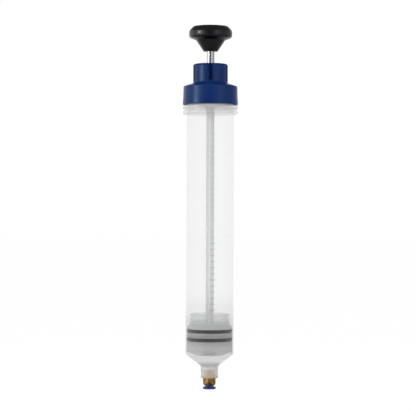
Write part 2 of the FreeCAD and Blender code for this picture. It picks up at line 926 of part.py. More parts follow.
def make_grab_ring(foot):
    """Spring-steel ring whose slotted fingers lean inwards and bite the hose, its rim on the cartridge."""
    thickness = 0.35
    outer = book.cartridge_radius - 0.25
    inner = book.hose_bore_radius + 0.1
    top = foot + book.grab_ring_height
    body = turned(
        "grab_ring",
        [
            (inner, foot + 0.1),
            (inner + 0.3, foot),
            (outer, foot + 1.7),
            (outer, top),
            (outer - thickness, top),
            (outer - thickness, foot + 1.85),
        ],
    )
    half = 0.3
    slot = extruded(
        body,
        "Pocket",
        "grab_slot",
        [
            (inner - 0.5, -half),
            (outer - 0.7, -half),
            (outer - 0.7, half),
            (inner - 0.5, half),
        ],
        "XY_Plane",
        book.grab_ring_height + 2.0,
        foot - 1.0,
    )
    slot.Reversed = True
    doc.recompute()
    around(body, slot, 12)
    return body


# ---------------------------------------------------------------------------------------------
# Assembly and export
# ---------------------------------------------------------------------------------------------


def check(parts):
    """Stops if any object failed or any part's shape is empty or invalid."""
    failed = [o.Name for o in doc.Objects if {"Invalid", "Error"} & set(o.State)]
    if failed:
        raise RuntimeError(f"failed objects: {failed}")
    for part in parts:
        if part.Shape.isNull() or not part.Shape.isValid() or not part.Shape.Solids:
            raise RuntimeError(f"{part.Label} has no valid solid")


def export(parts):
    """Writes each part to parts/LABEL.step."""
    os.makedirs("parts", exist_ok=True)
    for part in parts:
        part.Shape.exportStep(f"parts/{part.Label}.step")
        print(f"{part.Label:20s} {part.Shape.Volume / 1000:9.3f} cm3  {len(part.Shape.Faces)} faces")


parts = [
    make_barrel(),
    make_cap(),
    *make_cap_fittings(),
    make_piston(),
    *make_piston_fittings(),
    *make_rod(),
    *make_knob(),
    make_fitting_body(),
    *make_fitting_inside(),
]
doc.recompute()
check(parts)
export(parts)
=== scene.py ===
# %% [markdown]
# # A hand syringe pump for workshop fluids
# This tool sucks up and pushes out oil, brake fluid or coolant. A chromed rod pulls a ringed piston
# up a frosted plastic barrel, and a brass push-in fitting holds the hose at the bottom. The CAD model
# fixes every size and joint. This script gives the model its smooth surfaces, finishes and light.

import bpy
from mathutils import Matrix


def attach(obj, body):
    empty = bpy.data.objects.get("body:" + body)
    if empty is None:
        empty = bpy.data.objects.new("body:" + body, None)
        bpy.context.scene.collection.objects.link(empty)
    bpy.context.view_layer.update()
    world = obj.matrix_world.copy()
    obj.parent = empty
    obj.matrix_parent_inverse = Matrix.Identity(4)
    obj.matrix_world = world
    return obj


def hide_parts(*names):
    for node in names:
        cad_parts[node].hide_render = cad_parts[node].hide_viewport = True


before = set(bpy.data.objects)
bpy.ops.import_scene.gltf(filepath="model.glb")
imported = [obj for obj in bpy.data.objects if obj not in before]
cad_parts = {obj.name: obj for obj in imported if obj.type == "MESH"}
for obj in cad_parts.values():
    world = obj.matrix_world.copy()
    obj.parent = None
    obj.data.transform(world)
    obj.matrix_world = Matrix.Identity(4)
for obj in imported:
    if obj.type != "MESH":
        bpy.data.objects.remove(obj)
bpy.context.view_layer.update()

# %% [markdown]
# ## Tools for making surfaces
# Almost every piece here is turned or moulded round one axis. Such a piece is a profile, a line of
# (radius, height) points, carried round that axis. Numpy works out all the points at once, as a grid
# over the angle and the place along the profile, and one call puts the grid into a Blender mesh.

# %% Imports and units
import math

import bpy
import numpy as np
from mathutils import Vector

MM = 0.001
FULL_TURN = 2 * math.pi


# %% A mesh from a grid of points
def faces_of_grid(rows, columns, wrap_rows, wrap_columns):
    """Four-sided faces of neighbouring rows and columns: (r, c), (r, c+1), (r+1, c+1), (r+1, c)."""
    row_steps = np.arange(rows - (not wrap_rows))
    column_steps = np.arange(columns - (not wrap_columns))
    r, c = np.meshgrid(row_steps, column_steps, indexing="ij")
    r_next, c_next = (r + 1) % rows, (c + 1) % columns
    corners = [r * columns + c, r * columns + c_next, r_next * columns + c_next, r_next * columns + c]
    return np.stack(corners, axis=-1).reshape(-1, 4)


def round_the_axis(radius, height, angle):
    """Points in space from arrays of radius r, height z and angle a: (r cos a, r sin a, z)."""
    return np.stack([radius * np.cos(angle), radius * np.sin(angle), height + 0 * angle], axis=-1)


def make_object(name, points, faces, body, smooth=True):
    """A mesh object in the scene from points in millimetres and lists of corners, riding on a body."""
    mesh = bpy.data.meshes.new(name)
    mesh.from_pydata((np.asarray(points).reshape(-1, 3) * MM).tolist(), [], [list(f) for f in faces])
    mesh.polygons.foreach_set("use_smooth", np.full(len(mesh.polygons), smooth))
    mesh.update()
    piece = bpy.data.objects.new(name, mesh)
    bpy.context.scene.collection.objects.link(piece)
    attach(piece, body)
    return piece


def even_shading(piece):
    """Large faces decide the shading at their edges, so a flat wall stays flat by a round corner."""
    weighted = piece.modifiers.new("even_shading", "WEIGHTED_NORMAL")
    weighted.weight = 100
    weighted.keep_sharp = True
    return piece


# %% A profile with rounded corners
def rounded(corners, radii, steps=5):
    """Replaces each corner P of a closed outline by an arc of its radius r.

    With unit vectors u and v from P to its neighbours and half their angle h, the arc's centre is
    P + (u + v) / |u + v| * r / sin(h), and its ends lie r / tan(h) from P. The points between turn
    evenly from one end to the other about that centre.
    """
    p = np.array(corners, float)
    r = np.broadcast_to(np.asarray(radii, float), len(p))[:, None]
    u = np.roll(p, 1, axis=0) - p
    v = np.roll(p, -1, axis=0) - p
    u /= np.linalg.norm(u, axis=1, keepdims=True)
    v /= np.linalg.norm(v, axis=1, keepdims=True)
    half = np.arccos(np.clip((u * v).sum(1), -1, 1))[:, None] / 2
    centre = p + (u + v) / np.linalg.norm(u + v, axis=1, keepdims=True) * r / np.sin(half)
    start, end = p + u * r / np.tan(half) - centre, p + v * r / np.tan(half) - centre
    sweep = (math.pi - 2 * half)[:, None, :]
    t = np.linspace(0, 1, steps)[None, :, None]
    arc = np.sin((1 - t) * sweep) * start[:, None, :] + np.sin(t * sweep) * end[:, None, :]
    return (centre[:, None, :] + arc / np.sin(sweep)).reshape(-1, 2)


def outline(corners, steps=5):
    """A rounded outline from rows of (radius, height, corner radius)."""
    table = np.array(corners, float)
    return rounded(table[:, :2], table[:, 2], steps)


def divided(profile, spacing):
    """Adds points to a closed profile so that no step along it is longer than spacing."""
    step = np.roll(profile, -1, axis=0) - profile
    count = np.maximum(1, np.ceil(np.linalg.norm(step, axis=1) / spacing).astype(int))
    start = np.repeat(np.arange(len(profile)), count)
    place = np.arange(count.sum()) - np.repeat(np.cumsum(count) - count, count)
    return profile[start] + step[start] * (place / count[start])[:, None]


# %% A turned piece
def even_angles(count):
    """Angles in equal steps round the axis."""
    return np.linspace(0, FULL_TURN, count, endpoint=False)


USUAL_ANGLES = even_angles(128)


def turned(name, profile, body, angles=USUAL_ANGLES, reshape=None):
    """A closed ring: point (r, z) of the profile at angle a is (r cos a, r sin a, z).

    reshape may change the grid's radii, as radius = reshape(radius, height, angle).
    """
    angle = angles[:, None]
    radius, height = profile[None, :, 0] + 0 * angle, profile[None, :, 1]
    if reshape:
        radius = reshape(radius, height, angle)
    points = round_the_axis(radius, height, angle)
    faces = faces_of_grid(len(angles), len(profile), True, True)
    return even_shading(make_object(name, points, faces, body))


def turned_solid(name, profile, body, angles=USUAL_ANGLES):
    """A turned piece whose profile starts and ends on the axis: fans of triangles close both poles."""
    ring = profile[1:-1]
    around, columns = len(angles), len(ring)
    points = round_the_axis(ring[None, :, 0], ring[None, :, 1], angles[:, None]).reshape(-1, 3)
    poles = [[0, 0, profile[0, 1]], [0, 0, profile[-1, 1]]]
    here = np.arange(around) * columns
    there = np.roll(here, -1)
    first, last = len(points), len(points) + 1
    walls = faces_of_grid(around, columns, True, False)
    low = np.stack([np.full(around, first), here, there], axis=-1)
    high = np.stack([np.full(around, last), there + columns - 1, here + columns - 1], axis=-1)
    faces = [*walls.tolist(), *low.tolist(), *high.tolist()]
    return even_shading(make_object(name, np.vstack([points, poles]), faces, body))


# %% A helical ridge
THREAD_PITCH = 6.0
THREAD_TURNS = 1.5
RIDGE_BASE, RIDGE_TOP = 3.0, 1.8
RIDGE_STEPS_PER_TURN = 96
RIDGE_RUN_OUT = FULL_TURN / 8


def ridge(name, root, crest, start, body):
    """A screw ridge: its section's height climbs by pitch * angle / full turn.

    Its depth grows from nothing to full over the first and last eighth of a turn, as on a mould.
    """
    last_angle = THREAD_TURNS * FULL_TURN
    angle = np.linspace(0, last_angle, int(THREAD_TURNS * RIDGE_STEPS_PER_TURN))[:, None]
    depth = np.clip(np.minimum(angle, last_angle - angle) / RIDGE_RUN_OUT, 0.02, 1)
    radii = np.array([root, crest, crest, root])[None, :]
    heights = np.array([-RIDGE_BASE, -RIDGE_TOP, RIDGE_TOP, RIDGE_BASE])[None, :] / 2
    radius = root + (radii - root) * depth
    height = start + heights + THREAD_PITCH * angle / FULL_TURN
    points = round_the_axis(radius, height, angle)
    faces = faces_of_grid(len(angle), 4, False, True).tolist()
    last = (len(angle) - 1) * 4
    faces += [[3, 2, 1, 0], [last, last + 1, last + 2, last + 3]]
    if crest < root:
        faces = [f[::-1] for f in faces]
    return make_object(name, points, faces, body, smooth=False)


# %% [markdown]
# ## Barrel
# The real barrel is one polypropylene moulding: a threaded neck, a cone, a long straight wall and a
# double flange that stops the cap. The wall is a true shell with an inside and an outside, because
# what shows through it depends on how many surfaces the light crosses.

# %% Barrel shell
BORE, WALL = 37.4, 1.6
OUTSIDE = BORE + WALL
CONE_TOP, CONE_LOW = 56.1, (15.4, 38.1)
NECK_BORE, NECK_FOOT = 8.45, 19.2
MOUTH, RIM = 39.4, 486.5
FLANGES, FLANGE_GROOVE = 44.6, 42.6

cone_slope = (CONE_TOP - CONE_LOW[1]) / (OUTSIDE - CONE_LOW[0])
inner_top = CONE_TOP + WALL * (math.hypot(1, cone_slope) - cone_slope)
inner_low = inner_top - (BORE - NECK_BORE) * cone_slope

BARREL_CORNERS = [
    (NECK_BORE, NECK_FOOT, 0.2),
    (14.1, NECK_FOOT, 0.6),
    (14.1, 21.2, 0.4),
    (13.65, 21.7, 0.3),
    (13.65, 30.4, 0.3),
    (14.2, 30.9, 0.4),
    (14.2, 36.3, 1.5),
    (*CONE_LOW, 1.0),
    (OUTSIDE, CONE_TOP, 5.0),
    (OUTSIDE, 446.2, 3.4),
    (FLANGES, 446.2, 0.8),
    (FLANGES, 451.2, 0.8),
    (FLANGE_GROOVE, 451.2, 0.5),
    (FLANGE_GROOVE, 454.7, 0.5),
    (FLANGES, 454.7, 0.8),
    (FLANGES, 459.7, 0.8),
    (MOUTH, 459.7, 0.5),
    (MOUTH, RIM, 0.4),
    (BORE, RIM, 0.6),
    (BORE, inner_top, 2.0),
    (NECK_BORE, inner_low, 0.8),
]
barrel_profile = outline(BARREL_CORNERS)
barrel = turned("barrel_shell", barrel_profile, "barrel", even_angles(160))
barrel_thread = ridge(
    "barrel_thread", root=39.3, crest=41.4, start=469.5, body="barrel"
)
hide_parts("barrel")
print("barrel profile points:", len(barrel_profile))

# %% [markdown]
# ## Scale marks
# Raised ticks run up the front of the barrel, with every fifth one longer. Each tick is a tiny bar
# bent round the wall. Numpy works out the corners of all the bars in one array, and the faces of one
# bar are numbered again for each of the others by adding an offset.

# %% Raised ticks
TICKS, TICKS_PER_GROUP = 32, 5
TICK_FOOT, TICK_PITCH = 129.8, 9.75
TICK_HALF_LONG, TICK_HALF_SHORT = 5.2, 3.6
TICK_THICKNESS, TICK_RISE, TICK_SINK = 0.8, 0.35, 0.1
TICK_SHIFT = 5.4
TICK_COLUMNS = 7
tick_number = np.arange(TICKS)
tick_heights = TICK_FOOT + TICK_PITCH * tick_number
tick_halves = np.where(tick_number % TICKS_PER_GROUP == 0, TICK_HALF_LONG, TICK_HALF_SHORT)


def bent_bars(heights, half_widths):
    """Bars on the barrel's front: corner (i, j, k) lies at radius, angle and height given by i, j, k.

    The angle runs evenly over (shift +- half_width) / radius from the front, at -90 degrees. The
    section is a low trapezium that starts just under the wall's surface.
    """
    section_r = OUTSIDE + np.array([-TICK_SINK, TICK_RISE, TICK_RISE, -TICK_SINK])
    section_z = np.array([-1, -0.7, 0.7, 1]) * TICK_THICKNESS / 2
    across = np.linspace(-1, 1, TICK_COLUMNS)[None, :, None]
    sideways = TICK_SHIFT + across * half_widths[:, None, None]
    angle = -math.pi / 2 + sideways / OUTSIDE
    height = heights[:, None, None] + section_z[None, None, :]
    return round_the_axis(section_r[None, None, :], height, angle)


bars = bent_bars(tick_heights, tick_halves)
one_bar = faces_of_grid(TICK_COLUMNS, 4, False, True)
end = (TICK_COLUMNS - 1) * 4
one_bar = np.vstack([one_bar, [[3, 2, 1, 0]], [[end, end + 1, end + 2, end + 3]]])
bar_faces = (one_bar[None] + tick_number[:, None, None] * TICK_COLUMNS * 4).reshape(-1, 4)
ticks = make_object("scale_marks", bars, bar_faces, "barrel", smooth=False)
print("ticks:", len(bars))

# %% [markdown]
# ## Screw cap
# The cap is turned too, but five flutes in its hub give the hand a grip. A flute only changes the
# radius, so the cap is the same grid with a radius that dips where the angle and the height are
# inside a flute. The grid's angles crowd together at the flutes' walls to keep them crisp.

# %% Cap with fluted hub
HUB, HUB_TOP, SKIRT_FOOT = 28.1, 527.6, 461.4
FLUTES, FLUTE_WIDTH, FLUTE_DEPTH = 5, 6.0, 4.0
FLUTE_FOOT, FLUTE_RAMP = 499.2, 1.2
# The walls of a flute lean between these shares of its half width.
FLUTE_EDGE, FLUTE_LEAN = 1.04, 0.14

CAP_CORNERS = [
    (41.9, SKIRT_FOOT, 0.4),
    (45.0, SKIRT_FOOT, 0.6),
    (44.5, 471.4, 0.3),
    (44.3, 471.9, 0.3),
    (43.8, 491.3, 1.6),
    (HUB, 496.4, 3.0),
    (HUB, HUB_TOP, 3.0),
    (10.6, HUB_TOP, 0.5),
    (10.6, 520.6, 0.2),
    (7.0, 520.6, 0.2),
    (7.0, 518.0, 0.2),
    (9.5, 518.0, 0.2),
    (9.5, 479.6, 0.2),
    (12.6, 479.6, 0.4),
    (12.6, 523.6, 0.6),
    (21.5, 523.6, 0.6),
    (21.5, 488.5, 0.4),
    (41.9, 488.5, 0.4),
]


def flute_angles():
    """Angles round the cap: a fine cluster at both walls of each flute, and even steps in between."""
    half = FLUTE_WIDTH / 2 / HUB
    one_wall = np.array([0.5, 0.8, 0.9, 0.96, 1.0, 1.04, 1.12])
    walls = np.concatenate([-one_wall[::-1], [0], one_wall]) * half
    open_part = np.linspace(walls[-1], FULL_TURN / FLUTES - walls[-1], 16)[1:-1]
    one = np.concatenate([walls, open_part])
    return (np.arange(FLUTES)[:, None] * FULL_TURN / FLUTES - math.pi / 2 + one[None]).reshape(-1)


def fluted(radius, height, angle):
    """Takes the flutes out of the hub's outside.

    The distance sideways from the nearest flute's middle is counted in half widths. The dip is full
    where it is under edge - lean, falls evenly to nothing at edge, and ends in a ramp at the foot.
    """
    spacing = FULL_TURN / FLUTES
    off = (angle + math.pi / 2 + spacing / 2) % spacing - spacing / 2
    sideways = np.abs(off) * HUB / (FLUTE_WIDTH / 2)
    across = np.clip((FLUTE_EDGE - sideways) / FLUTE_LEAN, 0, 1)
    upward = np.clip((height - FLUTE_FOOT) / FLUTE_RAMP, 0, 1)
    floor = HUB - FLUTE_DEPTH
    on_hub = (radius > floor) & (height > FLUTE_FOOT - 0.01) & (height < HUB_TOP + 1)
    dip = np.maximum(radius - floor, 0) * across * upward
    return radius - np.where(on_hub, dip, 0)


cap_profile = divided(outline(CAP_CORNERS), spacing=2.5)
cap_angles = flute_angles()
cap = turned("cap_shell", cap_profile, "cap", cap_angles, reshape=fluted)
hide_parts("cap")
cap_thread = ridge(
    "cap_thread", root=42.0, crest=39.9, start=466.5, body="cap"
)
print("cap grid:", len(cap_angles), "by", len(cap_profile))

# %% [markdown]
# ## Knob and rod
# The knob is a black mushroom for the palm. Its dome is almost flat and meets a sloped shoulder at a
# soft edge, and the underside narrows to a stem that swallows the rod's end. The rod is a plain
# chromed tube, so its looks come from the finish and from what it mirrors.

# %% Knob
KNOB, KNOB_TOP, KNOB_SOCKET_TOP = 35.0, 590.4, 576.9
DOME_EDGE, DOME_EDGE_HEIGHT = 28.4, 588.6
CORNER_STEPS = 5

KNOB_CORNERS = [
    (0, KNOB_SOCKET_TOP, 0.01),
    (6.6, KNOB_SOCKET_TOP, 0.3),
    (6.6, 548.1, 0.4),
    (11.4, 548.1, 0.9),
    (23.7, 566.4, 2.5),
    (KNOB, 570.9, 5.0),
    (KNOB, 581.7, 7.5),
    (DOME_EDGE, DOME_EDGE_HEIGHT, 2.5),
    (0, 590.2, 0.01),
]


def dome(radii):
    """Heights on the knob's dome: a circle's arc, z = top - R + sqrt(R^2 - r^2).

    R follows from the edge's radius e and the rise h from edge to top: R = (e^2 + h^2) / 2h.
    """
    rise = KNOB_TOP - DOME_EDGE_HEIGHT
    sphere = (DOME_EDGE**2 + rise**2) / (2 * rise)
    return KNOB_TOP - sphere + np.sqrt(sphere**2 - radii**2)


dome_radii = np.linspace(25.0, 0, 14)
knob_side = outline(KNOB_CORNERS, CORNER_STEPS)[CORNER_STEPS:-CORNER_STEPS]
knob_dome = np.column_stack([dome_radii, dome(dome_radii)])
knob_profile = np.vstack([[(0, KNOB_SOCKET_TOP)], knob_side, knob_dome])
knob = turned_solid("knob_grip", knob_profile, "rod")
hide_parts("knob")
print("knob profile points:", len(knob_profile))

# %% Rod
ROD, ROD_BORE = 6.5, 5.0
ROD_FOOT, ROD_TOP = 75.7, 559.4

ROD_CORNERS = [
    (ROD_BORE, ROD_FOOT, 0.1),
    (ROD, ROD_FOOT, 0.4),
    (ROD, ROD_TOP, 0.4),
    (ROD_BORE, ROD_TOP, 0.1),
]
rod_profile = divided(outline(ROD_CORNERS), spacing=12.0)
rod = turned("rod_chromed", rod_profile, "rod", even_angles(96))
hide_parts("rod_tube")
print("rod length in mm:", ROD_TOP - ROD_FOOT)

# %% [markdown]
# ## Piston
# The piston is moulded in milky plastic: a blunt nose, two grooves for the rings, and an open cup
# stiffened by six webs round the rod's socket. It is turned like the rest, and the webs are thin
# slabs between the socket and the cup's wall.

# %% Piston body
LAND = 37.0
RING_SECTION = 2.5
RING_PLAY = 0.06
RING_AT = BORE - RING_PLAY - RING_SECTION
GROOVE_FLOOR = BORE - 2 * RING_PLAY - 2 * RING_SECTION
RING_HEIGHTS = (81.2, 94.9)
GROOVE_HALF = 2.85

PISTON_CORNERS = [
    (11.2, 54.7, 0.3),
    (22.0, 54.7, 2.4),
    (36.5, 60.7, 0.8),
    (LAND, 62.3, 0.5),
    (LAND, RING_HEIGHTS[0] - GROOVE_HALF, 0.3),
    (GROOVE_FLOOR, RING_HEIGHTS[0] - GROOVE_HALF, 0.3),
    (GROOVE_FLOOR, RING_HEIGHTS[0] + GROOVE_HALF, 0.3),
    (LAND, RING_HEIGHTS[0] + GROOVE_HALF, 0.3),
    (LAND, RING_HEIGHTS[1] - GROOVE_HALF, 0.3),
    (GROOVE_FLOOR, RING_HEIGHTS[1] - GROOVE_HALF, 0.3),
    (GROOVE_FLOOR, RING_HEIGHTS[1] + GROOVE_HALF, 0.3),
    (LAND, RING_HEIGHTS[1] + GROOVE_HALF, 0.3),
    (LAND, 99.5, 0.6),
    (33.0, 105.7, 1.5),
    (33.0, 122.2, 0.8),
    (30.0, 122.2, 0.6),
    (30.0, 68.5, 1.5),
    (12.5, 68.5, 1.0),
    (12.5, 102.5, 0.4),
    (6.6, 102.5, 0.3),
    (6.6, 74.5, 0.2),
    (4.1, 74.5, 0.2),
    (4.1, 65.9, 0.2),
    (11.2, 65.9, 0.2),
]
piston = turned("piston_cup", outline(PISTON_CORNERS), "piston")
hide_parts("piston_body")
print("piston faces:", len(piston.data.polygons))


# %% Webs inside the cup
WEBS, WEB_THICKNESS = 6, 2.4
WEB_INNER, WEB_OUTER = 12.3, 30.2
WEB_FOOT, WEB_TOP = 68.4, 98.5


def webs():
    """Upright slabs: one box turned about the axis by equal steps.

    A turn by angle t takes (x, y) to (x cos t - y sin t, x sin t + y cos t) and keeps z.
    """
    sides = [-WEB_THICKNESS / 2, WEB_THICKNESS / 2]
    x, y, z = np.meshgrid([WEB_INNER, WEB_OUTER], sides, [WEB_FOOT, WEB_TOP], indexing="ij")
    x, y, z = x.ravel(), y.ravel(), z.ravel()
    number = np.arange(WEBS)
    turn = number[:, None] * FULL_TURN / WEBS
    cos, sin = np.cos(turn), np.sin(turn)
    points = np.stack([x * cos - y * sin, x * sin + y * cos, z + 0 * cos], axis=-1)
    box = [[0, 1, 3, 2], [4, 6, 7, 5], [0, 4, 5, 1], [2, 3, 7, 6], [0, 2, 6, 4], [1, 5, 7, 3]]
    faces = np.array(box)[None] + number[:, None, None] * 8
    return points, faces.reshape(-1, 4)


web_points, web_faces = webs()
piston_webs = make_object(
    "piston_webs", web_points, web_faces, "piston", smooth=False
)


# %% Piston rings
MOULD_LINE = 0.04


def round_ring(name, node, height):
    """A torus: the section's circle of radius s carried round a circle of radius R.

    A point is ((R + s cos b) cos a, (R + s cos b) sin a, height + s sin b). A fine mould line stands
    proud at the section's outer and inner edge.
    """
    b = even_angles(40)
    s = RING_SECTION + MOULD_LINE * (np.abs(np.sin(b)) < 0.02)
    profile = np.column_stack([RING_AT + s * np.cos(b), height + s * np.sin(b)])
    ring = turned(name, profile, "piston", even_angles(144))
    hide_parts(node)
    return ring


ring_lower = round_ring("ring_lower", "piston_ring_lower", RING_HEIGHTS[0])
ring_upper = round_ring("ring_upper", "piston_ring_upper", RING_HEIGHTS[1])
print("ring radius in mm:", RING_AT)

# %% [markdown]
# ## Hose fitting
# The fitting is cut from hexagonal brass bar: a short hexagon for the spanner, a round foot, and a
# fine pipe thread that shows through the barrel's milky neck. The thread is a true helix, made by
# letting the groove's height depend on the angle.

# %% Brass body
HEX_FLATS, HEX_CORNER = 20.4, 10.8
HEX_FOOT, HEX_TOP = 12.0, 18.1
PIPE_CREST, PIPE_ROOT, PIPE_PITCH = 8.33, 7.6, 1.337
PIPE_FOOT, PIPE_TOP = 19.0, 29.4

BRASS_CORNERS = [
    (8.35, 6.4, 0.15),
    (8.9, 6.4, 0.2),
    (10.1, 8.8, 0.6),
    (10.1, 11.8, 0.2),
    (HEX_CORNER, HEX_FOOT + 0.5, 0.2),
    (HEX_CORNER, HEX_TOP, 0.3),
    (PIPE_ROOT, HEX_TOP, 0.2),
    (PIPE_ROOT, 30.0, 0.1),
    (7.1, 30.2, 0.1),
    (4.4, 30.2, 0.2),
    (4.4, 23.5, 0.2),
    (6.1, 23.5, 0.2),
    (6.1, 17.0, 0.2),
    (8.35, 17.0, 0.2),
]


def brass_shape(radius, height, angle):
    """The hexagon keeps the radius under half its flats / cos(angle from the nearest flat's middle).

    The pipe thread adds a triangle wave of the height less the helix's climb, which is
    pitch * angle / full turn.
    """
    sixth = FULL_TURN / 6
    off = (angle + sixth / 2) % sixth - sixth / 2
    flat = HEX_FLATS / 2 / np.cos(off)
    in_hex = (height > HEX_FOOT) & (height < HEX_TOP + 0.01) & (radius > 10.15)
    radius = np.where(in_hex, np.minimum(radius, flat), radius)
    phase = ((height - PIPE_PITCH * angle / FULL_TURN) / PIPE_PITCH) % 1
    wave = 1 - np.abs(2 * phase - 1)
    in_thread = (height > PIPE_FOOT) & (height < PIPE_TOP) & (np.abs(radius - PIPE_ROOT) < 0.05)
    return np.where(in_thread, radius + (PIPE_CREST - PIPE_ROOT) * wave, radius)


brass_profile = divided(outline(BRASS_CORNERS, steps=4), spacing=0.15)
brass = turned(
    "brass_body", brass_profile, "barrel", even_angles(120), reshape=brass_shape
)
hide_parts("fitting_body")
print("brass profile points:", len(brass_profile))

# %% Release collet and neck washer
COLLET_CORNERS = [
    (6.1, 0, 0.6),
    (10.6, 0, 1.2),
    (10.6, 3.6, 1.2),
    (7.1, 3.6, 0.5),
    (7.1, 8.3, 0.1),
    (7.6, 8.3, 0.1),
    (7.6, 9.1, 0.1),
    (6.5, 10.2, 0.1),
    (6.1, 10.2, 0.1),
]
collet = turned(
    "release_collet", outline(COLLET_CORNERS), "collet", even_angles(96)
)
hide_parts("collet")

WASHER_BORE, WASHER_EDGE = 8.38, 13.65
WASHER_FOOT, WASHER_TOP = 18.13, 19.17
washer_corners = [
    (WASHER_BORE, WASHER_FOOT),
    (WASHER_EDGE, WASHER_FOOT),
    (WASHER_EDGE, WASHER_TOP),
    (WASHER_BORE, WASHER_TOP),
]
washer_profile = rounded(washer_corners, 0.2)
neck_washer = turned("neck_washer", washer_profile, "barrel", even_angles(96))
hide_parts("fitting_washer")

# %% [markdown]
# ## Writing materials as sums
# A material is a small program of nodes. The classes below let it be written as arithmetic:
# an expression such as 0.3 + 0.1 * noise adds the Math nodes by itself. Every other node comes
# from one method that takes the node's type, its settings and its inputs.


# %% Node helpers
class Value:
    """A node's output socket. Adding, multiplying and so on make Math nodes."""

    def __init__(self, nodes, socket):
        self.nodes = nodes
        self.socket = socket

    def _math(self, operation, first, second):
        return self.nodes.node("Math", {"operation": operation}, {0: first, 1: second})

    def __add__(self, other):
        return self._math("ADD", self, other)

    __radd__ = __add__

    def __sub__(self, other):
        return self._math("SUBTRACT", self, other)

    def __rsub__(self, other):
        return self._math("SUBTRACT", other, self)

    def __mul__(self, other):
        return self._math("MULTIPLY", self, other)

    __rmul__ = __mul__

    def __pow__(self, other):
        return self._math("POWER", self, other)


class Nodes:
    """A node tree that starts empty, with one method for each kind of help."""

    def __init__(self, tree):
        self.tree = tree
        self.tree.nodes.clear()

    def node(self, kind, settings=None, inputs=None, output=0):
        """Adds a node: its type, then its settings, then its sockets' values or links."""
        made = self.tree.nodes.new("ShaderNode" + kind)
        for key, value in (settings or {}).items():
            if key == "stops":
                self._stops(made.color_ramp, value)
            else:
                setattr(made, key, value)
        for key, value in (inputs or {}).items():
            if isinstance(value, Value):
                self.tree.links.new(value.socket, made.inputs[key])
            else:
                made.inputs[key].default_value = value
        return Value(self, made.outputs[output])

    def _stops(self, ramp, stops):
        """Sets a colour ramp's stops from (place, colour) pairs."""
        while len(ramp.elements) < len(stops):
            ramp.elements.new(1.0)
        for element, (place, colour) in zip(ramp.elements, stops):
            element.position = place
            element.color = (*colour, 1)

    def coordinates(self, scale):
        """The object's own coordinates, stretched by a scale."""
        place = self.node("TexCoord", output="Object")
        return self.node("Mapping", inputs={"Vector": place, "Scale": scale})

    def along(self, axis):
        """One object coordinate, in metres: Z is the height above the hose port."""
        place = self.node("TexCoord", output="Object")
        return self.node("SeparateXYZ", inputs={0: place}, output=axis)

    def step(self, value, low, high, low_result=0.0, high_result=1.0):
        """Goes smoothly from one result to the other as value goes from low to high."""
        settings = {"interpolation_type": "SMOOTHSTEP"}
        inputs = {0: value, 1: low, 2: high, 3: low_result, 4: high_result}
        return self.node("MapRange", settings, inputs)

    def noise(self, scale, detail=2.0, stretch=(1, 1, 1)):
        """Smooth random patches, scale per metre."""
        place = self.coordinates(stretch)
        inputs = {"Vector": place, "Scale": scale, "Detail": detail, "Roughness": 0.5}
        return self.node("TexNoise", {}, inputs)

    def blend(self, factor, first, second):
        """A colour between two colours."""
        settings = {"data_type": "RGBA", "clamp_factor": True}
        first = first if isinstance(first, Value) else (*first, 1)
        second = second if isinstance(second, Value) else (*second, 1)
        return self.node("Mix", settings, {0: factor, 6: first, 7: second}, output=2)

    def bump(self, height, strength, distance):
        """A normal tilted by the slopes of a height."""
        return self.node("Bump", {}, {"Height": height, "Strength": strength, "Distance": distance})

    def end(self, kind, shader):
        """Sends the shader to the tree's output, of the kind Material or World."""
        output = self.tree.nodes.new("ShaderNodeOutput" + kind)
        self.tree.links.new(shader.socket, output.inputs["Surface"])


class Finish(Nodes):
    """A material whose nodes end in the Principled shader."""

    def __init__(self, name):
        self.material = bpy.data.materials.new(name)
        self.material.use_nodes = True
        super().__init__(self.material.node_tree)

    def principled(self, **inputs):
        """Ends the nodes in a Principled shader, where _ in a name stands for a space."""
        named = {name.replace("_", " "): value for name, value in inputs.items()}
        self.end("Material", self.node("BsdfPrincipled", {}, named))
        return self.material


def colour(red, green, blue):
    """Linear colour from the 0 to 255 numbers of a colour picker: ((c + 0.055) / 1.055) ^ 2.4."""
    c = np.array([red, green, blue]) / 255
    return tuple(np.where(c > 0.04045, ((c + 0.055) / 1.055) ** 2.4, c / 12.92).tolist())


# %% [markdown]
# ## Frosted barrel
# Natural polypropylene lets most light through and scatters the rest, so things inside look soft
# and pale. Each surface is mostly see-through with a thin milky share. The share grows where the
# moulding is thick, at the collar, the cone and the neck, and at the edges, where the eye looks
# along the wall. Just above the piston, a faint band of grey milk is painted shade for the
# piston's blurred image. Beside the piston and its rings, more milk at the wall's sides is painted
# light. The collar's paler colour and the extra milk at its top are partly painted light against
# the cap's shade.

# %% Places on the barrel
# Heights in metres between which the barrel's milkiness changes, from the foot up. The change goes
# from a pair's first height to its second, so a pair that runs down is full below and none above.
BRASS_END = (0.0300, 0.0325)
NECK_END = (0.0355, 0.0440)
CONE_START = (0.036, 0.043)
CONE_MIDDLE = (0.050, 0.066)
CONE_END = (0.058, 0.070)
# The first pairs set painted light at the wall's sides beside the piston.
PAINTED_SIDE_LIGHT_START, PAINTED_SIDE_LIGHT_END = (0.054, 0.062), (0.124, 0.108)
# The next pairs set painted shade: a faint grey band just above the piston.
PAINTED_SHADE_START, PAINTED_SHADE_END = (0.100, 0.126), (0.126, 0.160)
# The collar's first pair sets where a paler colour begins, painted light against the cap's shade.
COLLAR_PAINTED_LIGHT, COLLAR_MIDDLE, COLLAR_END = (0.440, 0.449), (0.4455, 0.4500), (0.4520, 0.4600)
# Squares of the radii between which the flange stands out from the wall.
FLANGE = (0.0400**2, 0.0420**2)


